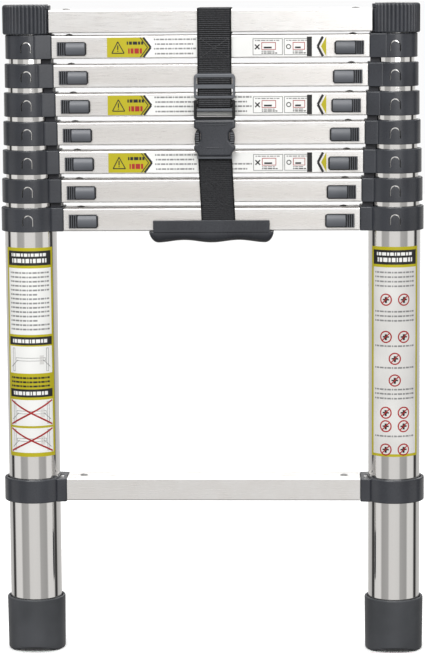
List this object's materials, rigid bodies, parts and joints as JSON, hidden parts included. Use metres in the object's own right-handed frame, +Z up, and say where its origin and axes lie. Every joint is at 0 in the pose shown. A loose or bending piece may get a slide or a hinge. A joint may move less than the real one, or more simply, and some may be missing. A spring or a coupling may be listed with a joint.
{
  "type": "telescoping ladder",
  "caption": "Closed telescoping ladder: nested round steel stiles, sliding box rungs in plastic collars with thumb latches, caps, feet, carry handle and buckled strap.",
  "frame": {"origin": "on the floor, midway between the two stiles and between front and back", "axes": "+Z up along the stiles, which the sections slide along; -Y is the front with the thumb latches and the strap; +X to the right seen from the front"},
  "size_m": [0.4668, 0.0668, 0.717],
  "materials": {
    "tube_steel": "mirror-polished stainless steel",
    "rung_aluminium": "satin anodised",
    "collar_plastic": "moulded satin, slate grey",
    "latch_plastic": "moulded satin, dark grey",
    "foot_rubber": "matte",
    "webbing": "woven polyester, crosswise ribs",
    "label_film": "printed film"
  },
  "bodies": {
    "base_section": {"foot_left": "foot_rubber", "foot_right": "foot_rubber", "tube_1_left": "tube_steel", "tube_1_right": "tube_steel", "rung_1": "rung_aluminium", "rung_2": "rung_aluminium", "collar_2_left": "collar_plastic", "collar_2_right": "collar_plastic", "carry_handle": "collar_plastic", "strap_lower": "webbing", "buckle_female": "collar_plastic"},
    "section_2": {"tube_2_left": "tube_steel", "tube_2_right": "tube_steel", "rung_3": "rung_aluminium", "collar_3_left": "collar_plastic", "collar_3_right": "collar_plastic"},
    "section_3": {"tube_3_left": "tube_steel", "tube_3_right": "tube_steel", "rung_4": "rung_aluminium", "collar_4_left": "collar_plastic", "collar_4_right": "collar_plastic"},
    "section_4": {"tube_4_left": "tube_steel", "tube_4_right": "tube_steel", "rung_5": "rung_aluminium", "collar_5_left": "collar_plastic", "collar_5_right": "collar_plastic"},
    "section_5": {"tube_5_left": "tube_steel", "tube_5_right": "tube_steel", "rung_6": "rung_aluminium", "collar_6_left": "collar_plastic", "collar_6_right": "collar_plastic"},
    "section_6": {"tube_6_left": "tube_steel", "tube_6_right": "tube_steel", "rung_7": "rung_aluminium", "collar_7_left": "collar_plastic", "collar_7_right": "collar_plastic"},
    "section_7": {"tube_7_left": "tube_steel", "tube_7_right": "tube_steel", "rung_8": "rung_aluminium", "collar_8_left": "collar_plastic", "collar_8_right": "collar_plastic"},
    "top_section": {"tube_8_left": "tube_steel", "tube_8_right": "tube_steel", "rung_9": "rung_aluminium", "strap_upper": "webbing", "buckle_male": "collar_plastic"},
    "latch_body_2_left": {"latch_2_left": "latch_plastic"},
    "latch_body_2_right": {"latch_2_right": "latch_plastic"},
    "latch_body_3_left": {"latch_3_left": "latch_plastic"},
    "latch_body_3_right": {"latch_3_right": "latch_plastic"},
    "latch_body_4_left": {"latch_4_left": "latch_plastic"},
    "latch_body_4_right": {"latch_4_right": "latch_plastic"},
    "latch_body_5_left": {"latch_5_left": "latch_plastic"},
    "latch_body_5_right": {"latch_5_right": "latch_plastic"},
    "latch_body_6_left": {"latch_6_left": "latch_plastic"},
    "latch_body_6_right": {"latch_6_right": "latch_plastic"},
    "latch_body_7_left": {"latch_7_left": "latch_plastic"},
    "latch_body_7_right": {"latch_7_right": "latch_plastic"},
    "latch_body_8_left": {"latch_8_left": "latch_plastic"},
    "latch_body_8_right": {"latch_8_right": "latch_plastic"}
  },
  "joints": [
    {"name": "section_2_slide", "type": "slide", "parent": "base_section", "child": "section_2", "axis": [0, 0, 1], "range_m": [0, 0.2687]},
    {"name": "section_3_slide", "type": "slide", "parent": "section_2", "child": "section_3", "axis": [0, 0, 1], "range_m": [0, 0.2687]},
    {"name": "section_4_slide", "type": "slide", "parent": "section_3", "child": "section_4", "axis": [0, 0, 1], "range_m": [0, 0.2687]},
    {"name": "section_5_slide", "type": "slide", "parent": "section_4", "child": "section_5", "axis": [0, 0, 1], "range_m": [0, 0.2687]},
    {"name": "section_6_slide", "type": "slide", "parent": "section_5", "child": "section_6", "axis": [0, 0, 1], "range_m": [0, 0.2687]},
    {"name": "section_7_slide", "type": "slide", "parent": "section_6", "child": "section_7", "axis": [0, 0, 1], "range_m": [0, 0.2687]},
    {"name": "top_slide", "type": "slide", "parent": "section_7", "child": "top_section", "axis": [0, 0, 1], "range_m": [0, 0.2687]},
    {"name": "latch_2_left_slide", "type": "slide", "parent": "base_section", "child": "latch_body_2_left", "axis": [1, 0, 0], "range_m": [0, 0.006], "stiffness_N_per_m": 400, "springref_m": -0.01},
    {"name": "latch_2_right_slide", "type": "slide", "parent": "base_section", "child": "latch_body_2_right", "axis": [-1, 0, 0], "range_m": [0, 0.006], "stiffness_N_per_m": 400, "springref_m": -0.01},
    {"name": "latch_3_left_slide", "type": "slide", "parent": "section_2", "child": "latch_body_3_left", "axis": [1, 0, 0], "range_m": [0, 0.006], "stiffness_N_per_m": 400, "springref_m": -0.01},
    {"name": "latch_3_right_slide", "type": "slide", "parent": "section_2", "child": "latch_body_3_right", "axis": [-1, 0, 0], "range_m": [0, 0.006], "stiffness_N_per_m": 400, "springref_m": -0.01},
    {"name": "latch_4_left_slide", "type": "slide", "parent": "section_3", "child": "latch_body_4_left", "axis": [1, 0, 0], "range_m": [0, 0.006], "stiffness_N_per_m": 400, "springref_m": -0.01},
    {"name": "latch_4_right_slide", "type": "slide", "parent": "section_3", "child": "latch_body_4_right", "axis": [-1, 0, 0], "range_m": [0, 0.006], "stiffness_N_per_m": 400, "springref_m": -0.01},
    {"name": "latch_5_left_slide", "type": "slide", "parent": "section_4", "child": "latch_body_5_left", "axis": [1, 0, 0], "range_m": [0, 0.006], "stiffness_N_per_m": 400, "springref_m": -0.01},
    {"name": "latch_5_right_slide", "type": "slide", "parent": "section_4", "child": "latch_body_5_right", "axis": [-1, 0, 0], "range_m": [0, 0.006], "stiffness_N_per_m": 400, "springref_m": -0.01},
    {"name": "latch_6_left_slide", "type": "slide", "parent": "section_5", "child": "latch_body_6_left", "axis": [1, 0, 0], "range_m": [0, 0.006], "stiffness_N_per_m": 400, "springref_m": -0.01},
    {"name": "latch_6_right_slide", "type": "slide", "parent": "section_5", "child": "latch_body_6_right", "axis": [-1, 0, 0], "range_m": [0, 0.006], "stiffness_N_per_m": 400, "springref_m": -0.01},
    {"name": "latch_7_left_slide", "type": "slide", "parent": "section_6", "child": "latch_body_7_left", "axis": [1, 0, 0], "range_m": [0, 0.006], "stiffness_N_per_m": 400, "springref_m": -0.01},
    {"name": "latch_7_right_slide", "type": "slide", "parent": "section_6", "child": "latch_body_7_right", "axis": [-1, 0, 0], "range_m": [0, 0.006], "stiffness_N_per_m": 400, "springref_m": -0.01},
    {"name": "latch_8_left_slide", "type": "slide", "parent": "section_7", "child": "latch_body_8_left", "axis": [1, 0, 0], "range_m": [0, 0.006], "stiffness_N_per_m": 400, "springref_m": -0.01},
    {"name": "latch_8_right_slide", "type": "slide", "parent": "section_7", "child": "latch_body_8_right", "axis": [-1, 0, 0], "range_m": [0, 0.006], "stiffness_N_per_m": 400, "springref_m": -0.01}
  ]
}
